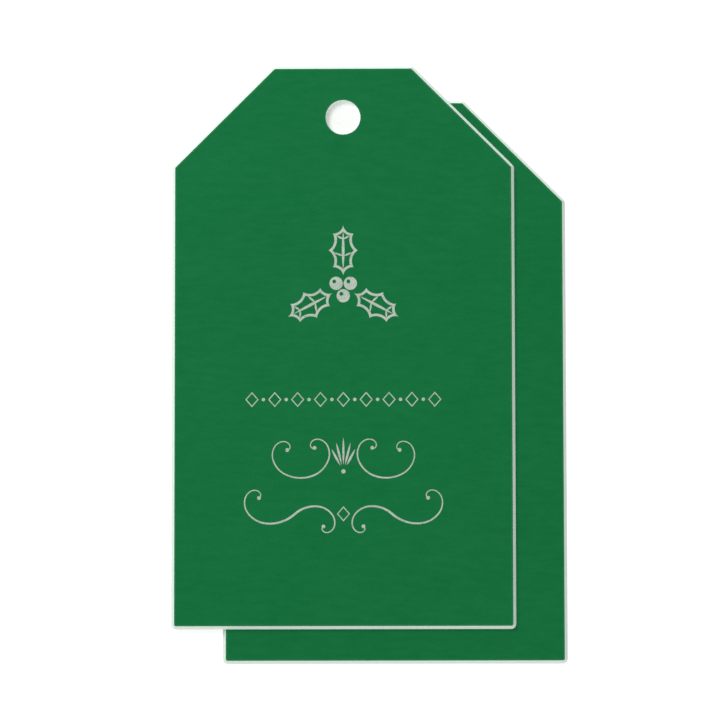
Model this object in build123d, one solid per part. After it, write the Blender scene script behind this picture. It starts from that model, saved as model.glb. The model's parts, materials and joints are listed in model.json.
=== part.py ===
from build123d import *
import os
from math import cos, pi, radians, sin, sqrt

# Two bevel-edged gift tags with a slip sheet between them, lying flat on a table with their faces up.
# Millimetres. +Z is up, out of the printed faces, and +Y runs towards the punched ends.
# The origin is at the bottom centre of the pair's box.

# Tag outline, measured along the back, where the bevel-cut edge is widest
TAG_WIDTH = 54.0
TAG_HEIGHT = 88.9
CORNER_CUT = 16.0
BEVEL_RUN = 0.55
FACE_CORNER_RADIUS = 0.25
HOLE_DIAMETER = 5.5
HOLE_FROM_TOP = 8.25

# Layers of one tag, from the back to the face
BACK_PAPER = 0.12
GLUE_FILM = 0.02
CORE_BOARD = 0.72
FACE_PAPER = 0.12

# Foil, pressed into the face sheet
IMPRESSION_DEPTH = 0.06
FOIL_FILM = 0.03

# How the pair lies: the upper tag is set to the left of the lower one and higher up
SIDE_SHIFT = 8.05
END_SHIFT = 5.4
SLIP_SHEET = 0.06
SLIP_SHEET_MARGIN = 1.2

# The printed column: ornaments one under the other, near the middle of the field below the hole
COLUMN_RISE = 0.3
SPRIG_GAP = 11.0
RULE_GAP = 4.7
FLOURISH_GAP = 1.7

# Holly sprig
LEAF_LENGTH = 8.0
LEAF_HALF_WIDTH = 2.3
LEAF_GAP = 0.6
LEAF_SPREAD = 118.0
LEAF_SPINES = 3
LEAF_HOLLOW = 0.2
LEAF_LINE = 0.4
RIB_WIDTH = 0.44
RIB_MARGIN = 0.9
VEIN_WIDTH = 0.3
VEIN_LEAN = 0.9
VEIN_REACH = 0.62
BERRY_RADIUS = 1.05
BERRY_GAP = 0.13
GLINT_RADIUS = 0.3
GLINT_OFFSET = 0.42
GLINT_ANGLE = 135.0

# Bead and lozenge rule
RULE_LENGTH = 30.8
LOZENGE_WIDTH = 2.1
LOZENGE_TALL = 2.4
LOZENGE_LINE = 0.17
BEAD_DIAMETER = 0.55
BEAD_GAP = 0.4

# Scrolls: pen strokes that curl in equal turns, each turn on a smaller radius, and end in a ball
CURL_TURN = 48.0
CURL_STEPS = 8
CURL_SHRINK = 0.68
HAIR_LINE = 0.15
BALL_RADIUS = 0.3

# Upper flourish: two C scrolls, mirrored, with a palmette between them
UPPER_STROKE = 0.28
UPPER_OUTER_RADIUS = 5.4
UPPER_INNER_RADIUS = 4.2
UPPER_LEAN = -20.0
PALM_STROKES = 5
PALM_STEP = 14.0
PALM_LENGTH = 5.4
PALM_SHORTEN = 0.7
PALM_WIDTH = 0.36
PALM_START = 1.0
PALM_RISE = 0.7
PALM_BEAD_RADIUS = 0.34
PALM_GAP = 0.2

# Lower flourish: two lying S scrolls, mirrored, with a lozenge between them
LOWER_STROKE = 0.36
LOWER_OUTER_RADIUS = 5.9
LOWER_INNER_RADIUS = 4.65
LOWER_LEAN = -42.0
LOZENGE_GAP = 0.2

UPWARDS = 90.0
BERRY_RING = (BERRY_RADIUS + BERRY_GAP / 2) / sin(radians(LEAF_SPREAD / 2))
TAG_THICKNESS = BACK_PAPER + GLUE_FILM + CORE_BOARD + GLUE_FILM + FACE_PAPER
LAYERS = (
    ("back_paper", BACK_PAPER),
    ("back_glue", GLUE_FILM),
    ("core_board", CORE_BOARD),
    ("face_glue", GLUE_FILM),
    ("face_paper", FACE_PAPER),
)


def tag_outline(inset, z):
    """The tag's six-sided outline, moved in from the edge of the back, at height z."""
    half_width = TAG_WIDTH / 2 - inset
    half_height = TAG_HEIGHT / 2 - inset
    cut = CORNER_CUT - (2 - sqrt(2)) * inset
    corners = [
        (-half_width, -half_height),
        (half_width, -half_height),
        (half_width, half_height - cut),
        (half_width - cut, half_height),
        (-half_width + cut, half_height),
        (-half_width, half_height - cut),
    ]
    radius = FACE_CORNER_RADIUS + max(BEVEL_RUN - inset, 0)
    return Pos(0, 0, z) * make_face(FilletPolyline(*corners, radius=radius, close=True))


def tag_layer(bottom, top):
    """One layer of the laminate, with the sloping cut edge and the punched hole."""
    slope = BEVEL_RUN / TAG_THICKNESS
    sheet = loft([tag_outline(slope * bottom, bottom), tag_outline(slope * top, top)], ruled=True)
    hole = Pos(0, TAG_HEIGHT / 2 - HOLE_FROM_TOP, bottom) * Circle(HOLE_DIAMETER / 2)
    return sheet - extrude(hole, top - bottom)


def along(angle, length):
    """A vector of that length in the face's plane."""
    return Vector(length * cos(radians(angle)), length * sin(radians(angle)))


def pointed_stroke(start, end, width):
    """A stroke between two points, widest half way, bounded by two arcs."""
    middle = (start + end) / 2
    aside = (end - start).rotate(Axis.Z, 90).normalized() * (width / 2)
    return make_face([ThreePointArc(start, middle + aside, end), ThreePointArc(end, middle - aside, start)])


def spine_tip(number, side):
    """The tip of one spine on a leaf that lies along +X from its stalk."""
    share = (number + 0.5) / LEAF_SPINES
    return Vector(share * LEAF_LENGTH, side * LEAF_HALF_WIDTH * sqrt(sin(pi * share)))


def leaf_blade():
    """The leaf's outline: hollow arcs from spine to spine, up one side and back down the other."""
    stalk = Vector(0, 0)
    point = Vector(LEAF_LENGTH, 0)
    left = [spine_tip(number, 1) for number in range(LEAF_SPINES)]
    right = [spine_tip(number, -1) for number in reversed(range(LEAF_SPINES))]
    tips = [stalk, *left, point, *right, stalk]
    edges = []
    for start, end in zip(tips, tips[1:]):
        inwards = (end - start).rotate(Axis.Z, -90)
        edges.append(ThreePointArc(start, (start + end) / 2 + inwards * LEAF_HOLLOW, end))
    return make_face(edges)


def leaf():
    """A leaf drawn in line: its edge, its midrib and a vein towards each spine past the first."""
    blade = leaf_blade()
    drawn = blade - offset(blade, -LEAF_LINE, kind=Kind.INTERSECTION)
    drawn += pointed_stroke(Vector(RIB_MARGIN, 0), Vector(LEAF_LENGTH - RIB_MARGIN, 0), RIB_WIDTH)
    for number in range(1, LEAF_SPINES):
        for side in (1, -1):
            tip = spine_tip(number, side)
            root = Vector(tip.X - VEIN_LEAN, 0)
            drawn += pointed_stroke(root, root + (tip - root) * VEIN_REACH, VEIN_WIDTH)
    return drawn


def leaves():
    """Three leaves round the middle of the sprig, one upright, each clear of the berries beside it."""
    berry = along(LEAF_SPREAD / 2, BERRY_RING)
    stalk = berry.X + sqrt((BERRY_RADIUS + LEAF_GAP) ** 2 - berry.Y**2)
    turns = [UPWARDS, UPWARDS + LEAF_SPREAD, UPWARDS - LEAF_SPREAD]
    return [Rot(Z=turn) * Pos(stalk, 0) * leaf() for turn in turns]


def berries():
    """Three berries between the leaves, each with a glint left open on its upper left."""
    berry = Circle(BERRY_RADIUS) - Pos(along(GLINT_ANGLE, GLINT_OFFSET)) * Circle(GLINT_RADIUS)
    angles = [UPWARDS + LEAF_SPREAD / 2, UPWARDS - LEAF_SPREAD / 2, UPWARDS + 180]
    return [Pos(along(angle, BERRY_RING)) * berry for angle in angles]


def curl(radius, width):
    """Half a scroll: from its full width at the origin, heading along +X, it curls to the left."""
    radii = [radius * CURL_SHRINK**step for step in range(CURL_STEPS)]
    half_turns = [(0.0, radius)] + [(CURL_TURN / 2, radii[half // 2]) for half in range(2 * CURL_STEPS)]
    length = sum(radii) * CURL_TURN
    point = Vector(0, 0)
    heading = 0.0
    gone = 0.0
    left = []
    right = []
    for turn, step_radius in half_turns:
        centre = point + along(heading + 90, step_radius)
        heading += turn
        point = centre + along(heading - 90, step_radius)
        gone += step_radius * turn
        half_width = (width + (HAIR_LINE - width) * gone / length) / 2
        left.append(point + along(heading + 90, half_width))
        right.append(point + along(heading - 90, half_width))
    edges = [Line(right[0], left[0]), Line(left[-1], right[-1])]
    for side in (left, right):
        edges += [ThreePointArc(*side[at : at + 3]) for at in range(0, 2 * CURL_STEPS, 2)]
    return make_face(edges) + Pos(point) * Circle(BALL_RADIUS)


def lozenge():
    """A lozenge drawn in line, standing on its point."""
    half = LOZENGE_WIDTH / 2
    tall = LOZENGE_TALL / 2
    filled = make_face(Polyline((-half, 0), (0, -tall), (half, 0), (0, tall), close=True))
    return filled - offset(filled, -LOZENGE_LINE, kind=Kind.INTERSECTION)


def rule():
    """A row of lozenges with a bead between each two, as many as the rule's length holds."""
    least_pitch = LOZENGE_WIDTH + BEAD_DIAMETER + 2 * BEAD_GAP
    spaces = int((RULE_LENGTH - LOZENGE_WIDTH) / least_pitch)
    pitch = (RULE_LENGTH - LOZENGE_WIDTH) / spaces
    first = -pitch * spaces / 2
    row = [Pos(first + pitch * number) * lozenge() for number in range(spaces + 1)]
    row += [Pos(first + pitch * (number + 0.5)) * Circle(BEAD_DIAMETER / 2) for number in range(spaces)]
    return row


def palmette():
    """Pointed strokes spread like a fan above a bead, the middle one the longest."""
    middle = (PALM_STROKES - 1) / 2
    foot = Pos(0, PALM_RISE)
    shapes = [foot * Circle(PALM_BEAD_RADIUS)]
    for number in range(PALM_STROKES):
        angle = UPWARDS + PALM_STEP * (number - middle)
        length = PALM_LENGTH - PALM_SHORTEN * abs(number - middle)
        shapes.append(foot * pointed_stroke(along(angle, PALM_START), along(angle, length), PALM_WIDTH))
    return shapes


def either_side(scroll, middle, gap):
    """A scroll to the right of the middle shapes and its mirror image to their left, with that gap."""
    half_width = max(shape.bounding_box().max.X for shape in middle)
    right = Pos(half_width + gap - scroll.bounding_box().min.X) * scroll
    return [right, mirror(right, Plane.YZ), *middle]


def upper_flourish():
    """Two C scrolls with the palmette between them."""
    outer = curl(UPPER_OUTER_RADIUS, UPPER_STROKE)
    inner = mirror(curl(UPPER_INNER_RADIUS, UPPER_STROKE), Plane.YZ)
    return either_side(Rot(Z=UPPER_LEAN) * (outer + inner), palmette(), PALM_GAP)


def lower_flourish():
    """Two lying S scrolls with a lozenge between them."""
    outer = curl(LOWER_OUTER_RADIUS, LOWER_STROKE)
    inner = Rot(Z=180) * curl(LOWER_INNER_RADIUS, LOWER_STROKE)
    return either_side(Rot(Z=LOWER_LEAN) * (outer + inner), [lozenge()], LOZENGE_GAP)


def printed_column():
    """Every ornament by name, in rows one under the other, placed in the field below the hole."""
    rows = [
        ({"foil_leaves": leaves(), "foil_berries": berries()}, SPRIG_GAP),
        ({"foil_rule": rule()}, RULE_GAP),
        ({"foil_upper_flourish": upper_flourish()}, FLOURISH_GAP),
        ({"foil_lower_flourish": lower_flourish()}, 0.0),
    ]
    placed = {}
    ceiling = 0.0
    for row, gap in rows:
        boxes = [shape.bounding_box() for drawing in row.values() for shape in drawing]
        top = max(box.max.Y for box in boxes)
        for name, drawing in row.items():
            placed[name] = [Pos(0, ceiling - top) * shape for shape in drawing]
        ceiling -= top - min(box.min.Y for box in boxes) + gap
    hole_foot = TAG_HEIGHT / 2 - HOLE_FROM_TOP - HOLE_DIAMETER / 2
    lift = (hole_foot - TAG_HEIGHT / 2 - ceiling) / 2 + COLUMN_RISE
    return {name: [Pos(0, lift) * shape for shape in drawing] for name, drawing in placed.items()}


def pressed(drawing, amount):
    """A drawing raised from the floor of its impression in the face sheet."""
    floor = TAG_THICKNESS - IMPRESSION_DEPTH
    return [extrude(Pos(0, 0, floor) * shape, amount) for shape in drawing]


def tag():
    """The pieces of one tag, by name, with the middle of its back at the origin."""
    pieces = {}
    bottom = 0.0
    for name, thickness in LAYERS:
        pieces[name] = tag_layer(bottom, bottom + thickness)
        bottom += thickness
    for name, drawing in printed_column().items():
        pieces["face_paper"] = pieces["face_paper"] - pressed(drawing, IMPRESSION_DEPTH)
        pieces[name] = Part() + pressed(drawing, FOIL_FILM)
    return pieces


def slip_sheet():
    """The thin loose sheet that lies under the upper tag, a little smaller than the tag."""
    return extrude(tag_outline(SLIP_SHEET_MARGIN, 0), SLIP_SHEET)


def main():
    upper_seat = TAG_THICKNESS + SLIP_SHEET
    places = {
        "rear": Pos(SIDE_SHIFT / 2, -END_SHIFT / 2, 0),
        "front": Pos(-SIDE_SHIFT / 2, END_SHIFT / 2, upper_seat),
    }
    nodes = {}
    for name, piece in tag().items():
        for side, place in places.items():
            nodes[f"{side}_{name}"] = place * piece
    nodes["slip_sheet"] = Pos(-SIDE_SHIFT / 2, END_SHIFT / 2, TAG_THICKNESS) * slip_sheet()
    os.makedirs("parts", exist_ok=True)
    for name, piece in nodes.items():
        export_step(piece, f"parts/{name}.step")


if __name__ == "__main__":
    main()
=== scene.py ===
"""Finishes of two bevel-edged gift tags: paper, board and silver foil, with cut-edge fibres and a stage.

Laid out as an add-on and run as a script: main() registers the classes and calls the operators in order.
"""

import json
import math
from collections import namedtuple

import bmesh
import bpy
from bpy.props import FloatProperty, FloatVectorProperty, IntProperty, PointerProperty
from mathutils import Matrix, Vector


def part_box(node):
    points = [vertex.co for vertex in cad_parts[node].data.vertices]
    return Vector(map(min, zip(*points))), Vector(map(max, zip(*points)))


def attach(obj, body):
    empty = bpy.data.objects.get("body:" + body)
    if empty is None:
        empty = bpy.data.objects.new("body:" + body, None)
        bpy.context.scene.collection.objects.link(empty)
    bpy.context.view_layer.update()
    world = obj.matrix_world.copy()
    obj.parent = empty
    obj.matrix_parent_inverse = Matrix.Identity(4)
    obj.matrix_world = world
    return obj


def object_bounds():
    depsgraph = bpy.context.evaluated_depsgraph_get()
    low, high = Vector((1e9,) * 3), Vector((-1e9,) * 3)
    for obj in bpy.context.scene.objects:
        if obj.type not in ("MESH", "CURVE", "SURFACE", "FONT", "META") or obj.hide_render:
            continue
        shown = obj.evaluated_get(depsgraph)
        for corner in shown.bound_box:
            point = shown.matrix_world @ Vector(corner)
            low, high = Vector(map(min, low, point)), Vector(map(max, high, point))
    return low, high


bl_info = {
    "name": "Gift Tag Finishes",
    "version": (1, 0, 0),
    "blender": (4, 5, 0),
    "location": "View3D > Sidebar > Gift Tags",
    "description": "Paper, board and foil finishes for two gift tags, with cut-edge fibres and a stage",
    "category": "Material",
}

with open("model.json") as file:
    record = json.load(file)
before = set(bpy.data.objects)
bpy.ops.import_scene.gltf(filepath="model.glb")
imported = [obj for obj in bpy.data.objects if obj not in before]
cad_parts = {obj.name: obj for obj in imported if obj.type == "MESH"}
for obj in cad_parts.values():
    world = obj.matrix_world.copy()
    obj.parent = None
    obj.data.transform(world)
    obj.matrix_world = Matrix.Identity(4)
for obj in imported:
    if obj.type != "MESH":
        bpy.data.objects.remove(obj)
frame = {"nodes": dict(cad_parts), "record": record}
cad_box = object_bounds()

MM = 0.001
SIDES = ("front", "rear")
FOILS = ("foil_leaves", "foil_berries", "foil_rule", "foil_upper_flourish", "foil_lower_flourish")

# Differences in millimetres under which points count as on one level, and corners as one corner
SAME_LEVEL = 0.01
SAME_CORNER = 0.001

# The paper's tooth, which also shows in the foil: its blots' size and their offset, in millimetres
TOOTH_SIZE = (0.26, 0.2, 0.2)
TOOTH_OFFSET = 80.0

# How much deeper than the skip level a pit has to be for the foil to be gone
SKIP_FADE = 0.05

# A bent fibre about 1 long, from its foot to its tip, and the counts of its steps and sides
FIBRE_BEND = {"Start": (0.0, 0.0, 0.0), "Middle": (0.1, 0.0, 0.55), "End": (0.55, 0.1, 0.85)}
FIBRE_STEPS = 3
FIBRE_SIDES = 3

# The most that a fibre leans each way, in radians, and its least and greatest share of the set length
FIBRE_LEAN = 1.0
FIBRE_SHORTEST = 0.4
FIBRE_LONGEST = 1.2

# A face of the core is a cut side where its normal rises or falls by less than this
CUT_SIDE_RISE = 0.9

# Sockets that go by number, because others on their node have the same name: a Mix node's for colours,
# and a Random Value node's for vectors and for numbers
MIX_FACTOR, MIX_FIRST, MIX_SECOND, MIX_RESULT = 0, 6, 7, 2
VECTOR_LEAST, VECTOR_MOST = 0, 1
NUMBER_LEAST, NUMBER_MOST, NUMBER_RESULT = 2, 3, 1

# Where a lamp hangs: its width and distance in millimetres, and in degrees its angle from straight above
# and its direction, counted anticlockwise from the right
LampPlace = namedtuple("LampPlace", ("width", "distance", "angle", "direction"))
LAMPS = {
    "key": LampPlace(width=180.0, distance=400.0, angle=43.0, direction=135.0),
    "head_fill": LampPlace(width=300.0, distance=700.0, angle=75.0, direction=75.0),
    "foot_fill": LampPlace(width=300.0, distance=700.0, angle=70.0, direction=270.0),
}

WHITE = (1.0, 1.0, 1.0, 1.0)

# The floor's darker blots, as a share of its colour
FLOOR_MOTTLE = 0.99

# The camera sees nothing nearer than this, in millimetres
NEAREST_VIEW = 10.0


def from_srgb(red, green, blue):
    """A colour given as screen levels from 0 to 255, as the linear colour that sockets hold."""
    shares = [level / 255 for level in (red, green, blue)]
    return tuple(s / 12.92 if s <= 0.04045 else ((s + 0.055) / 1.055) ** 2.4 for s in shares)


def opaque(colour):
    """A colour with full alpha, as colour sockets want it."""
    return (*colour, 1.0)


class FaceOutline:
    """Where one tag's printed face lies, in millimetres: middle, half sizes, corner cut and hole."""

    def __init__(self, side):
        points = [vertex.co / MM for vertex in frame["nodes"][f"{side}_face_paper"].data.vertices]
        top = max(point.z for point in points)
        face = [point for point in points if point.z > top - SAME_LEVEL]
        left, right = (pick(point.x for point in face) for pick in (min, max))
        low, high = (pick(point.y for point in face) for pick in (min, max))
        self.middle = Vector(((left + right) / 2, (low + high) / 2, top))
        self.half_width = (right - left) / 2
        self.half_height = (high - low) / 2
        self.corner_cut = right - max(point.x for point in face if point.y > high - SAME_LEVEL)
        hole = next(mount for mount in frame["record"]["mounts"] if mount["name"] == f"{side}_hole")
        self.hole_rise = hole["pos_m"][1] / MM - self.middle.y
        self.hole_radius = hole["dims"]["r_mm"]


class Value:
    """One socket of a node tree, so that sums on values are written as Python expressions."""

    def __init__(self, graph, socket):
        self.graph = graph
        self.socket = socket

    def output(self, name):
        """Another output of the same node."""
        return Value(self.graph, self.socket.node.outputs[name])

    def swing(self, amount):
        """How far a value from 0 to 1 is from its middle, times an amount."""
        return (self - 0.5) * amount

    def __add__(self, other):
        return self.graph.maths("ADD", self, other)

    def __radd__(self, other):
        return self.graph.maths("ADD", other, self)

    def __sub__(self, other):
        return self.graph.maths("SUBTRACT", self, other)

    def __rsub__(self, other):
        return self.graph.maths("SUBTRACT", other, self)

    def __mul__(self, other):
        return self.graph.maths("MULTIPLY", self, other)

    def __rmul__(self, other):
        return self.graph.maths("MULTIPLY", other, self)

    def __pow__(self, other):
        return self.graph.maths("POWER", self, other)

    def __abs__(self):
        return self.graph.maths("ABSOLUTE", self)

    def __lt__(self, other):
        return self.graph.maths("LESS_THAN", self, other)

    def __gt__(self, other):
        return self.graph.maths("GREATER_THAN", self, other)


class Graph:
    """Adds nodes to a shader tree or a geometry tree."""

    def __init__(self, tree):
        self.tree = tree

    def node(self, kind, settings=None, sockets=None, output=0):
        """A new node with its settings, then its sockets' values or links, as the value of one output."""
        made = self.tree.nodes.new(kind)
        for name, setting in (settings or {}).items():
            setattr(made, name, setting)
        for name, value in (sockets or {}).items():
            if isinstance(value, Value):
                self.tree.links.new(value.socket, made.inputs[name])
            else:
                made.inputs[name].default_value = value
        return Value(self, made.outputs[output]) if made.outputs else None

    def maths(self, operation, *values):
        """A Math node on values and numbers."""
        return self.node("ShaderNodeMath", {"operation": operation}, dict(enumerate(values)))

    def least(self, *values):
        """The smallest of several values."""
        smallest = values[0]
        for value in values[1:]:
            smallest = self.maths("MINIMUM", smallest, value)
        return smallest

    def seen_directly(self):
        """1 for camera rays and for those that a glossy or clear surface passes on, otherwise 0."""
        camera = self.node("ShaderNodeLightPath", output="Is Camera Ray")
        glossy, clear = camera.output("Is Glossy Ray"), camera.output("Is Transmission Ray")
        return self.maths("MAXIMUM", camera, self.maths("MAXIMUM", glossy, clear))

    def two_looks(self, lighting, shown):
        """A shader that lights the scene as one shader does, and is seen as the other."""
        sockets = dict(enumerate((self.seen_directly(), lighting, shown)))
        return self.node("ShaderNodeMixShader", {}, sockets)


class Finish(Graph):
    """A material, and the patterns that papers, board, glue and foil share."""

    def __init__(self, name):
        self.material = bpy.data.materials.new(name)
        self.material.use_nodes = True
        super().__init__(self.material.node_tree)
        self.tree.nodes.clear()

    def millimetres(self, centre=(0.0, 0.0, 0.0), stretch=(1.0, 1.0, 1.0)):
        """Places on the piece in millimetres from a centre, each axis divided by its stretch."""
        scale = [1 / (MM * share) for share in stretch]
        shift = [-along / share for along, share in zip(centre, stretch)]
        place = self.node("ShaderNodeTexCoord", output="Object")
        return self.node("ShaderNodeMapping", {}, {"Vector": place, "Location": shift, "Scale": scale})

    def noise(self, size, detail=2.0, offset=0.0):
        """Noise from 0 to 1 whose blots have that size in millimetres along X, Y and Z."""
        place = self.millimetres((offset, offset, offset), size)
        return self.node("ShaderNodeTexNoise", {}, {"Vector": place, "Scale": 1.0, "Detail": detail})

    def threads(self, size, sharpness, offset=0.0):
        """Thin wandering lines from 0 to 1, drawn where a noise passes through its middle."""
        distance = abs(self.noise(size, detail=1.0, offset=offset) - 0.5) * 2.0
        return (1.0 - distance) ** sharpness

    def step(self, value, low, high):
        """A smooth step from 0 at low to 1 at high."""
        settings = {"interpolation_type": "SMOOTHSTEP"}
        sockets = {"Value": value, "From Min": low, "From Max": high}
        return self.node("ShaderNodeMapRange", settings, sockets)

    def blend(self, factor, first, second):
        """A colour between two, the second at factor 1."""
        first, second = (c if isinstance(c, Value) else opaque(c) for c in (first, second))
        settings = {"data_type": "RGBA", "clamp_factor": True}
        sockets = {MIX_FACTOR: factor, MIX_FIRST: first, MIX_SECOND: second}
        return self.node("ShaderNodeMix", settings, sockets, output=MIX_RESULT)

    def relief(self, height, depth):
        """The surface's normal with a height from 0 to 1 raised by a depth in millimetres."""
        return self.node("ShaderNodeBump", {}, {"Height": height, "Strength": 1.0, "Distance": depth * MM})

    def surface(self, sockets):
        """Ends the material in a Principled shader with those sockets."""
        shader = self.node("ShaderNodeBsdfPrincipled", {}, sockets)
        self.node("ShaderNodeOutputMaterial", {}, {"Surface": shader})
        return self.material


def edge_rub(finish, outline, width):
    """From 0 to 1 where handling has rubbed the face: along its outline and round the punched hole."""
    place = finish.millimetres(outline.middle)
    across = finish.node("ShaderNodeSeparateXYZ", {}, {"Vector": place}, output="X")
    along = across.output("Y")
    to_side = outline.half_width - abs(across)
    to_end = outline.half_height - abs(along)
    cut_reach = outline.half_width + outline.half_height - outline.corner_cut
    to_cut = (cut_reach - abs(across) - along) * math.sqrt(0.5)
    from_hole = (across**2.0 + (along - outline.hole_rise) ** 2.0) ** 0.5 - outline.hole_radius
    worn = 1.0 - finish.least(to_side, to_end, to_cut, from_hole) * (1 / width)
    flecks = finish.noise(size=(0.16, 0.16, 0.16), offset=200.0)
    flecks += finish.noise(size=(1.5, 1.5, 1.5)).swing(0.6)
    return finish.step(worn + flecks, low=0.9, high=1.5)


def face_paper_finish(side, paper):
    """Green paper dyed through, with a grain that runs across the tag and edges rubbed a little pale."""
    finish = Finish(f"{side}_green_paper")
    length, width = paper.grain_length / MM, paper.grain_width / MM
    grain = finish.noise(size=(length, width, width))
    cloud = finish.noise(size=(9.0, 6.0, 6.0), detail=3.0, offset=40.0)
    tooth = finish.noise(size=TOOTH_SIZE, detail=3.0, offset=TOOTH_OFFSET)
    lying = finish.threads(size=(length * 0.5, width * 0.4, width), sharpness=12.0, offset=120.0)
    standing = finish.threads(size=(width * 0.6, length * 0.4, width), sharpness=16.0, offset=160.0)
    fibre = lying + standing * 0.6
    shade = 0.5 + grain.swing(1.1) + cloud.swing(0.5) + tooth.swing(0.4) + (fibre - 0.3) * 0.25
    dyed = finish.blend(shade, paper.deep_green, paper.pale_green)
    rubbed = edge_rub(finish, FaceOutline(side), paper.rub_width / MM)
    height = tooth * 0.6 + grain * 0.3 + fibre * 0.08
    return finish.surface({
        "Base Color": finish.blend(rubbed * paper.rub_strength, dyed, paper.rubbed_green),
        "Roughness": 0.78 + tooth.swing(0.2) - rubbed * 0.08,
        "Normal": finish.relief(height, depth=paper.tooth_depth / MM),
        "Specular IOR Level": 0.03,
    })


def core_board_finish(board):
    """White pulp board, seen on its cut: plies along the edge, knife marks across it, specks of fibre."""
    # The core colours' mint tint is painted green light bounced from the face paper; the board itself is
    # white
    finish = Finish("white_core_board")
    plies = finish.noise(size=(3.0, 3.0, board.ply_thickness / MM))
    marks = finish.noise(size=(0.16, 0.16, 2.5), detail=1.0, offset=30.0)
    specks = finish.noise(size=(0.2, 0.2, 0.12), offset=60.0)
    shade = 0.35 + plies.swing(1.5) + marks.swing(0.6) + specks.swing(0.7)
    return finish.surface({
        "Base Color": finish.blend(shade, board.core_white_with_painted_bounce, board.core_plies_with_painted_bounce),
        "Roughness": 0.85 + specks.swing(0.2),
        "Normal": finish.relief(plies * 0.5 + marks * 0.3 + specks * 0.4, depth=0.03),
        "Specular IOR Level": 0.2,
    })


def back_paper_finish(board):
    """Uncoated white paper to write on: cloudy, with grey fibres that lie along it and across it."""
    finish = Finish("white_back_paper")
    cloud = finish.noise(size=(3.5, 3.0, 3.0), detail=3.0)
    tooth = finish.noise(size=(0.3, 0.24, 0.24), offset=20.0)
    lying = finish.threads(size=(3.2, 1.1, 1.0), sharpness=22.0, offset=50.0)
    standing = finish.threads(size=(0.9, 2.6, 1.0), sharpness=22.0, offset=90.0)
    shade = 0.2 + cloud.swing(0.8) + tooth.swing(0.5) + (lying + standing) * 0.3
    return finish.surface({
        "Base Color": finish.blend(shade, board.back_white, board.back_shade),
        "Roughness": 0.8 + tooth.swing(0.2),
        "Normal": finish.relief(tooth * 0.6 + lying * 0.3 + standing * 0.3, depth=0.03),
        "Specular IOR Level": 0.25,
    })


def glue_finish(board):
    """Clear glue, dried to a thin film that is thicker in places."""
    finish = Finish("dried_glue")
    pooled = finish.noise(size=(1.4, 1.4, 0.4))
    fine = finish.noise(size=(0.3, 0.3, 0.1), detail=1.0, offset=25.0)
    thick = finish.step(pooled, low=0.35, high=0.7)
    return finish.surface({
        "Base Color": finish.blend(thick, board.glue_clear, board.glue_amber),
        "Roughness": 0.3 + pooled * 0.25,
        "Normal": finish.relief(pooled * 0.6 + fine * 0.4, depth=0.01),
        "Coat Weight": 0.2,
        "Coat Roughness": 0.2,
    })


def slip_sheet_finish(board):
    """Thin smooth white paper with the cloudy look of a light sheet and a few long fibres."""
    finish = Finish("slip_sheet_paper")
    cloud = finish.noise(size=(1.6, 1.2, 1.2), detail=4.0)
    fibre = finish.threads(size=(4.0, 1.2, 1.0), sharpness=30.0, offset=35.0)
    shade = 0.3 + cloud.swing(1.1) + fibre * 0.25
    return finish.surface({
        "Base Color": finish.blend(shade, board.slip_white, board.slip_shade),
        "Roughness": 0.5 + cloud.swing(0.2),
        "Normal": finish.relief(cloud * 0.6 + fibre * 0.4, depth=0.015),
        "Specular IOR Level": 0.25,
    })


def foil_finish(foil, paper):
    """Silver foil pressed into paper: the paper's tooth shows in it, and it skips the paper's pits."""
    finish = Finish("silver_foil")
    length, width = paper.grain_length / MM, paper.grain_width / MM
    tooth = finish.noise(size=TOOTH_SIZE, offset=TOOTH_OFFSET)
    grain = finish.noise(size=(length, width, width))
    tarnish = finish.noise(size=(1.8, 1.4, 1.4), offset=140.0)
    pits = finish.noise(size=(0.22, 0.16, 0.2), detail=1.0, offset=170.0)
    skip = finish.step(pits, low=foil.skip_level, high=foil.skip_level + SKIP_FADE)
    shade = 0.4 + tooth.swing(1.3) + tarnish.swing(0.9) + grain.swing(0.5)
    metal = finish.blend(shade, foil.bright, foil.dull)
    return finish.surface({
        "Base Color": finish.blend(skip, metal, paper.deep_green),
        "Metallic": 1.0 - skip,
        "Roughness": foil.roughness + tooth.swing(0.2) + skip * 0.4,
        "Normal": finish.relief(tooth * 0.7 + grain * 0.3, depth=foil.tooth_depth / MM),
    })


def fibre_finish(board):
    """Loose pulp fibres, a little whiter and greyer by turns."""
    finish = Finish("loose_pulp")
    # The fibres take the core's colours, with their mint tint of painted green bounce light
    shade = finish.noise(size=(0.4, 0.4, 0.4), detail=1.0)
    return finish.surface({
        "Base Color": finish.blend(shade, board.core_white_with_painted_bounce, board.core_plies_with_painted_bounce),
        "Roughness": 0.8 + shade.swing(0.2),
        "Specular IOR Level": 0.2,
    })


def floor_finish(stage):
    """A pale sheet that shows as white to the camera and keeps a faint shadow."""
    finish = Finish("pale_floor")
    mottle = finish.noise(size=(14.0, 14.0, 14.0), detail=3.0)
    blots = [FLOOR_MOTTLE * level for level in stage.floor_colour]
    tone = finish.blend(mottle, stage.floor_colour, blots)
    plain = finish.node("ShaderNodeBsdfDiffuse", {}, {"Color": tone})
    faint = finish.node("ShaderNodeBsdfDiffuse", {}, {"Color": opaque([stage.floor_shadow] * 3)})
    glow = finish.node("ShaderNodeEmission", {}, {"Strength": stage.floor_glow})
    shown = finish.node("ShaderNodeAddShader", {}, dict(enumerate((faint, glow))))
    looks = finish.two_looks(plain, shown)
    finish.node("ShaderNodeOutputMaterial", {}, {"Surface": looks})
    return finish.material


def dress(names, material):
    """Gives CAD nodes a finish in place of the one that they were packed with."""
    for name in names:
        slots = frame["nodes"][name].data.materials
        slots.clear()
        slots.append(material)


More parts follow.
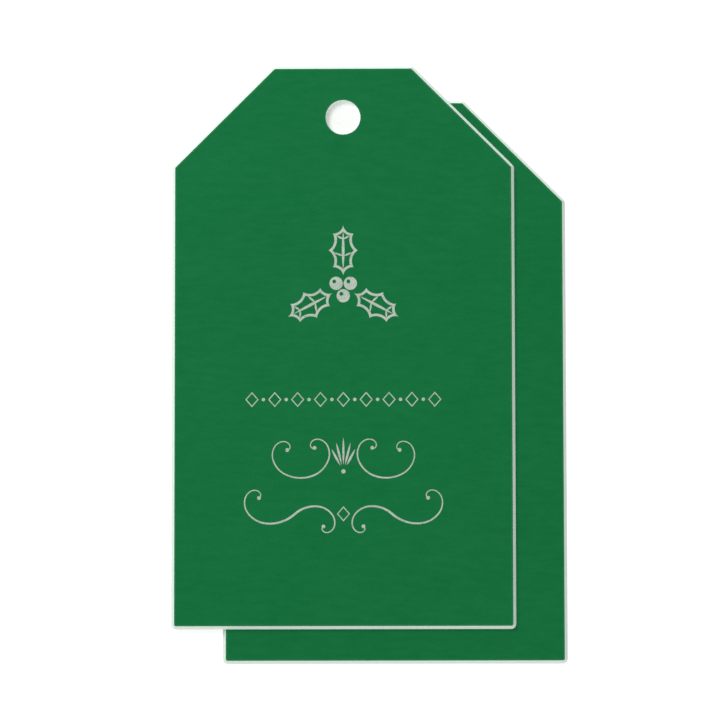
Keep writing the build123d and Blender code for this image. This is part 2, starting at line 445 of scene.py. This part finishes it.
def fibre_shape(graph, slenderness):
    """One bent fibre about 1 long."""
    spine = graph.node("GeometryNodeCurveQuadraticBezier", {}, {"Resolution": FIBRE_STEPS, **FIBRE_BEND})
    rim = {"Resolution": FIBRE_SIDES, "Radius": 0.5 * slenderness}
    section = graph.node("GeometryNodeCurvePrimitiveCircle", {"mode": "RADIUS"}, rim)
    body = {"Curve": spine, "Profile Curve": section, "Fill Caps": True}
    return graph.node("GeometryNodeCurveToMesh", {}, body)


def fibre_turn(graph, points, seed):
    """How each fibre stands on its point: out of the surface, leaning, and turned about its foot."""
    limits = {
        VECTOR_LEAST: (-FIBRE_LEAN, -FIBRE_LEAN, 0.0),
        VECTOR_MOST: (FIBRE_LEAN, FIBRE_LEAN, math.tau),
        "Seed": seed,
    }
    turn = graph.node("FunctionNodeRandomValue", {"data_type": "FLOAT_VECTOR"}, limits)
    turn = graph.node("FunctionNodeEulerToRotation", {}, {"Euler": turn})
    lie = {"Rotation": points.output("Rotation"), "Rotate By": turn}
    return graph.node("FunctionNodeRotateRotation", {"rotation_space": "LOCAL"}, lie)


def fibre_tree():
    """A geometry tree that scatters short bent fibres over the cut sides of a board."""
    tree = bpy.data.node_groups.new("cut_edge_fibres", "GeometryNodeTree")
    inputs = (
        ("Geometry", "NodeSocketGeometry"),
        ("Density", "NodeSocketFloat"),
        ("Length", "NodeSocketFloat"),
        ("Slenderness", "NodeSocketFloat"),
        ("Lowest", "NodeSocketFloat"),
        ("Seed", "NodeSocketInt"),
        ("Material", "NodeSocketMaterial"),
    )
    for name, kind in inputs:
        tree.interface.new_socket(name, in_out="INPUT", socket_type=kind)
    tree.interface.new_socket("Geometry", in_out="OUTPUT", socket_type="NodeSocketGeometry")
    graph = Graph(tree)
    board = graph.node("NodeGroupInput", output="Geometry")
    density, length, slenderness, lowest, seed, material = (board.output(name) for name, _ in inputs[1:])

    facing = graph.node("GeometryNodeInputNormal")
    rise = graph.node("ShaderNodeSeparateXYZ", {}, {"Vector": facing}, output="Z")
    spread = {"Mesh": board, "Selection": abs(rise) < CUT_SIDE_RISE, "Density": density, "Seed": seed}
    points = graph.node("GeometryNodeDistributePointsOnFaces", {"distribute_method": "RANDOM"}, spread)
    place = graph.node("GeometryNodeInputPosition")
    height = graph.node("ShaderNodeSeparateXYZ", {}, {"Vector": place}, output="Z")

    shares = {NUMBER_LEAST: FIBRE_SHORTEST, NUMBER_MOST: FIBRE_LONGEST, "Seed": seed + 1}
    share = graph.node("FunctionNodeRandomValue", {"data_type": "FLOAT"}, shares, output=NUMBER_RESULT)
    sown = {
        "Points": points,
        "Selection": height > lowest,
        "Instance": fibre_shape(graph, slenderness),
        "Rotation": fibre_turn(graph, points, seed),
        "Scale": share * length,
    }
    fibres = graph.node("GeometryNodeInstanceOnPoints", {}, sown)
    fibres = graph.node("GeometryNodeRealizeInstances", {}, {"Geometry": fibres})
    fibres = graph.node("GeometryNodeSetMaterial", {}, {"Geometry": fibres, "Material": material})
    graph.node("NodeGroupOutput", {}, {"Geometry": fibres})
    return tree


def merged_copy(node_name):
    """A CAD node's mesh with its loose triangles joined at their corners."""
    mesh = frame["nodes"][node_name].data.copy()
    work = bmesh.new()
    work.from_mesh(mesh)
    bmesh.ops.remove_doubles(work, verts=work.verts, dist=SAME_CORNER * MM)
    work.to_mesh(mesh)
    work.free()
    return mesh


def grown_on(mesh, name, tree, values):
    """An object whose plain mesh is what a geometry tree makes of another mesh."""
    piece = bpy.data.objects.new(name, mesh)
    bpy.context.scene.collection.objects.link(piece)
    modifier = piece.modifiers.new(tree.name, "NODES")
    modifier.node_group = tree
    for item in tree.interface.items_tree:
        if item.in_out == "INPUT" and item.name in values:
            modifier[item.identifier] = values[item.name]
    depsgraph = bpy.context.evaluated_depsgraph_get()
    made = bpy.data.meshes.new_from_object(piece.evaluated_get(depsgraph), depsgraph=depsgraph)
    piece.modifiers.remove(modifier)
    piece.data = made
    made.name = name
    bpy.data.meshes.remove(mesh)
    return piece


def colour_property(name, description, levels):
    """A colour setting whose default is given as screen levels."""
    return FloatVectorProperty(
        name=name,
        description=description,
        subtype="COLOR",
        min=0.0,
        max=1.0,
        default=from_srgb(*levels),
    )


def length_property(name, description, millimetres):
    """A length setting whose default is given in millimetres."""
    return FloatProperty(
        name=name,
        description=description,
        unit="LENGTH",
        min=0.0,
        precision=6,
        default=millimetres * MM,
    )


def share_property(name, description, share):
    """A setting from 0 to 1."""
    return FloatProperty(
        name=name,
        description=description,
        subtype="FACTOR",
        min=0.0,
        max=1.0,
        default=share,
    )


def brightness_property(name, description, brightness):
    """A brightness setting, on a scale where 1 is white."""
    return FloatProperty(name=name, description=description, min=0.0, default=brightness)


class GiftTagPaper(bpy.types.PropertyGroup):
    """The green face paper."""

    deep_green: colour_property("Deep Green", "Colour in the low places of the grain", (16, 105, 56))
    pale_green: colour_property("Pale Green", "Colour on the high places of the grain", (26, 113, 63))
    rubbed_green: colour_property("Rubbed Green", "Colour where the edges are rubbed", (92, 148, 112))
    grain_length: length_property("Grain Length", "Length of the grain, across the tag", 3.2)
    grain_width: length_property("Grain Width", "Width of the grain, along the tag", 0.95)
    tooth_depth: length_property("Tooth Depth", "Depth of the paper's tooth", 0.05)
    rub_width: length_property("Rub Width", "How far in from an edge the face is rubbed", 0.35)
    rub_strength: share_property("Rub Strength", "How much of the rubbed colour shows", 0.25)


class GiftTagBoard(bpy.types.PropertyGroup):
    """The white core, the back paper, the glue and the slip sheet."""

    # Both core colours hold a mint tint that is painted light: green bounced from the face paper onto the
    # white cut edges
    core_white_with_painted_bounce: colour_property("Core White", "Clean pulp of the core board", (235, 252, 242))
    core_plies_with_painted_bounce: colour_property("Core Shade", "Denser plies of the core board", (214, 241, 225))
    back_white: colour_property("Back White", "Clean places of the back paper", (248, 248, 246))
    back_shade: colour_property("Back Shade", "Fibres and clouds in the back paper", (229, 229, 224))
    slip_white: colour_property("Slip White", "Clean places of the slip sheet", (253, 253, 252))
    slip_shade: colour_property("Slip Shade", "Clouds in the slip sheet", (247, 247, 245))
    glue_clear: colour_property("Clear Glue", "Glue where the film is thin", (242, 241, 233))
    glue_amber: colour_property("Amber Glue", "Glue where the film is thick", (228, 219, 192))
    ply_thickness: length_property("Ply Thickness", "Thickness of one ply of the core board", 0.09)


class GiftTagFoil(bpy.types.PropertyGroup):
    """The silver foil."""

    bright: colour_property("Bright Silver", "Foil on the paper's high places", (187, 195, 184))
    dull: colour_property("Dull Silver", "Foil in the paper's low places", (138, 157, 142))
    tooth_depth: length_property("Tooth Depth", "Depth of the paper's tooth under the foil", 0.012)
    roughness: share_property("Roughness", "How far the foil blurs what it reflects", 0.34)
    skip_level: share_property("Skip Level", "Depth from 0 to 1 of the pits that the foil skips", 0.66)


class GiftTagFibres(bpy.types.PropertyGroup):
    """The fibres that stand out of the cut edges."""

    density: FloatProperty(
        name="Density",
        description="Fibres on each square millimetre of cut edge",
        min=0.0,
        default=9.0,
    )
    length: length_property("Length", "Length of a fibre", 0.17)
    thickness: length_property("Thickness", "Thickness of a fibre", 0.011)
    clear_height: length_property("Clear Height", "How far up the core's edge stays free of fibres", 0.25)
    seed: IntProperty(name="Seed", description="Another scatter of fibres for each number", default=7)


class GiftTagStage(bpy.types.PropertyGroup):
    """The floor, the light and the camera."""

    floor_size: length_property("Floor Size", "Width of the floor", 3000.0)
    floor_drop: length_property("Floor Drop", "How far the floor lies under the lower tag", 0.02)
    floor_colour: colour_property("Floor Colour", "Colour of the floor as the tags see it", (220, 220, 219))
    floor_glow: brightness_property("Floor Glow", "Brightness of the floor where no light falls", 0.74)
    floor_shadow: share_property("Floor Shadow", "How strongly light and shadow show on the floor", 0.42)
    sky: brightness_property("Sky", "Brightness of the light from all round", 0.57)
    key: brightness_property("Key", "Brightness that the key lamp adds on a face", 0.36)
    head_fill: brightness_property("Head Fill", "Brightness from the low lamp past the punched ends", 0.03)
    foot_fill: brightness_property("Foot Fill", "Brightness from the low lamp past the plain ends", 0.07)
    focal_length: FloatProperty(
        name="Focal Length",
        description="Focal length of the camera, in millimetres, on a sensor 36 mm wide",
        min=1.0,
        default=175.0,
    )
    camera_place: FloatVectorProperty(
        name="Camera Place",
        description="Where the camera stands",
        subtype="TRANSLATION",
        unit="LENGTH",
        precision=6,
        default=(4.599 * MM, -43.486 * MM, 550.144 * MM),
    )
    camera_turn: FloatVectorProperty(
        name="Camera Turn",
        description="Tilt, pan and roll of the camera from looking straight down",
        subtype="EULER",
        unit="ROTATION",
        precision=5,
        default=(math.radians(4.578), math.radians(0.634), math.radians(-0.09)),
    )


class GIFT_TAG_OT_face_papers(bpy.types.Operator):
    """Finish the green face paper of both tags"""

    bl_idname = "gift_tag.face_papers"
    bl_label = "Face Papers"

    def execute(self, context):
        for side in SIDES:
            dress([f"{side}_face_paper"], face_paper_finish(side, context.scene.gift_tag_paper))
        return {"FINISHED"}


class GIFT_TAG_OT_core_boards(bpy.types.Operator):
    """Finish the white core board of both tags"""

    bl_idname = "gift_tag.core_boards"
    bl_label = "Core Boards"

    def execute(self, context):
        dress([f"{side}_core_board" for side in SIDES], core_board_finish(context.scene.gift_tag_board))
        return {"FINISHED"}


class GIFT_TAG_OT_back_papers(bpy.types.Operator):
    """Finish the white back paper of both tags"""

    bl_idname = "gift_tag.back_papers"
    bl_label = "Back Papers"

    def execute(self, context):
        dress([f"{side}_back_paper" for side in SIDES], back_paper_finish(context.scene.gift_tag_board))
        return {"FINISHED"}


class GIFT_TAG_OT_glue_films(bpy.types.Operator):
    """Finish the glue films of both tags"""

    bl_idname = "gift_tag.glue_films"
    bl_label = "Glue Films"

    def execute(self, context):
        films = [f"{side}_{film}" for side in SIDES for film in ("face_glue", "back_glue")]
        dress(films, glue_finish(context.scene.gift_tag_board))
        return {"FINISHED"}


class GIFT_TAG_OT_foils(bpy.types.Operator):
    """Finish the silver foil print of both tags"""

    bl_idname = "gift_tag.foils"
    bl_label = "Foil Print"

    def execute(self, context):
        prints = [f"{side}_{foil}" for side in SIDES for foil in FOILS]
        dress(prints, foil_finish(context.scene.gift_tag_foil, context.scene.gift_tag_paper))
        return {"FINISHED"}


class GIFT_TAG_OT_slip_sheet(bpy.types.Operator):
    """Finish the loose sheet between the tags"""

    bl_idname = "gift_tag.slip_sheet"
    bl_label = "Slip Sheet"

    def execute(self, context):
        dress(["slip_sheet"], slip_sheet_finish(context.scene.gift_tag_board))
        return {"FINISHED"}


class GIFT_TAG_OT_edge_fibres(bpy.types.Operator):
    """Scatter pulp fibres over the cut edges and the punched holes"""

    bl_idname = "gift_tag.edge_fibres"
    bl_label = "Edge Fibres"

    def execute(self, context):
        fibres = context.scene.gift_tag_fibres
        tree = fibre_tree()
        values = {
            "Density": fibres.density / MM**2,
            "Length": fibres.length,
            "Slenderness": fibres.thickness / fibres.length,
            "Material": fibre_finish(context.scene.gift_tag_board),
        }
        for number, side in enumerate(SIDES):
            core = f"{side}_core_board"
            values["Lowest"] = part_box(core)[0].z + fibres.clear_height
            values["Seed"] = fibres.seed + number
            piece = grown_on(merged_copy(core), f"{side}_edge_fibres", tree, values)
            if not piece.data.polygons:
                raise RuntimeError(f"no fibres grew on {core}")
            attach(piece, f"{side}_tag")
        return {"FINISHED"}


class GIFT_TAG_OT_stage(bpy.types.Operator):
    """Set up the floor, the light and the camera"""

    bl_idname = "gift_tag.stage"
    bl_label = "Stage"

    def execute(self, context):
        stage = context.scene.gift_tag_stage
        self.lay_floor(context, stage)
        self.light_world(context, stage)
        for lamp in LAMPS:
            self.hang_lamp(context, lamp, getattr(stage, lamp))
        self.place_camera(context, stage)
        context.scene.view_settings.view_transform = "Standard"
        return {"FINISHED"}

    def lay_floor(self, context, stage):
        """A wide level sheet just under the lower tag."""
        half = stage.floor_size / 2
        height = cad_box[0].z - stage.floor_drop
        corners = [(x, y, height) for x, y in ((-half, -half), (half, -half), (half, half), (-half, half))]
        mesh = bpy.data.meshes.new("floor")
        mesh.from_pydata(corners, [], [(0, 1, 2, 3)])
        mesh.materials.append(floor_finish(stage))
        floor = bpy.data.objects.new("floor", mesh)
        context.scene.collection.objects.link(floor)

    def light_world(self, context, stage):
        """Even light from all round, which is seen as white."""
        world = bpy.data.worlds.new("white_studio")
        world.use_nodes = True
        graph = Graph(world.node_tree)
        graph.tree.nodes.clear()
        light = graph.node("ShaderNodeBackground", {}, {"Color": WHITE, "Strength": stage.sky})
        white = graph.node("ShaderNodeBackground", {}, {"Color": WHITE, "Strength": 1.0})
        looks = graph.two_looks(light, white)
        graph.node("ShaderNodeOutputWorld", {}, {"Surface": looks})
        context.scene.world = world

    def hang_lamp(self, context, name, brightness):
        """A round lamp turned to the tags, with the power that gives a level white face that brightness."""
        place = LAMPS[name]
        distance = place.distance * MM
        angle, direction = math.radians(place.angle), math.radians(place.direction)
        aside, height = math.sin(angle), math.cos(angle)
        towards = Vector((aside * math.cos(direction), aside * math.sin(direction), height))
        lamp = bpy.data.lights.new(name, "AREA")
        lamp.shape = "DISK"
        lamp.size = place.width * MM
        lamp.energy = brightness * (math.pi * distance) ** 2 / height
        hung = bpy.data.objects.new(name, lamp)
        hung.location = (cad_box[0] + cad_box[1]) / 2 + towards * distance
        hung.rotation_euler = towards.to_track_quat("Z", "Y").to_euler()
        context.scene.collection.objects.link(hung)

    def place_camera(self, context, stage):
        """The camera that looks down on the tags."""
        lens = bpy.data.cameras.new("camera")
        lens.lens = stage.focal_length
        lens.clip_start = NEAREST_VIEW * MM
        camera = bpy.data.objects.new("camera", lens)
        camera.location = stage.camera_place
        camera.rotation_euler = stage.camera_turn
        context.scene.collection.objects.link(camera)
        context.scene.camera = camera


class GIFT_TAG_PT_finishes(bpy.types.Panel):
    """The settings and steps of the gift tags' finishes"""

    bl_idname = "GIFT_TAG_PT_finishes"
    bl_label = "Gift Tags"
    bl_space_type = "VIEW_3D"
    bl_region_type = "UI"
    bl_category = "Gift Tags"

    def draw(self, context):
        for name in SETTINGS:
            group = getattr(context.scene, name)
            box = self.layout.box()
            for setting in group.__annotations__:
                box.prop(group, setting)
        for operator in OPERATORS:
            self.layout.operator(operator.bl_idname)


SETTINGS = {
    "gift_tag_paper": GiftTagPaper,
    "gift_tag_board": GiftTagBoard,
    "gift_tag_foil": GiftTagFoil,
    "gift_tag_fibres": GiftTagFibres,
    "gift_tag_stage": GiftTagStage,
}
OPERATORS = (
    GIFT_TAG_OT_face_papers,
    GIFT_TAG_OT_core_boards,
    GIFT_TAG_OT_back_papers,
    GIFT_TAG_OT_glue_films,
    GIFT_TAG_OT_foils,
    GIFT_TAG_OT_slip_sheet,
    GIFT_TAG_OT_edge_fibres,
    GIFT_TAG_OT_stage,
)
CLASSES = (*SETTINGS.values(), *OPERATORS, GIFT_TAG_PT_finishes)


def register():
    for kind in CLASSES:
        bpy.utils.register_class(kind)
    for name, group in SETTINGS.items():
        setattr(bpy.types.Scene, name, PointerProperty(type=group))


def unregister():
    for name in SETTINGS:
        delattr(bpy.types.Scene, name)
    for kind in reversed(CLASSES):
        bpy.utils.unregister_class(kind)


def main():
    register()
    bpy.ops.gift_tag.face_papers()
    bpy.ops.gift_tag.core_boards()
    bpy.ops.gift_tag.back_papers()
    bpy.ops.gift_tag.glue_films()
    bpy.ops.gift_tag.foils()
    bpy.ops.gift_tag.slip_sheet()
    bpy.ops.gift_tag.edge_fibres()
    bpy.ops.gift_tag.stage()


if __name__ == "__main__":
    main()
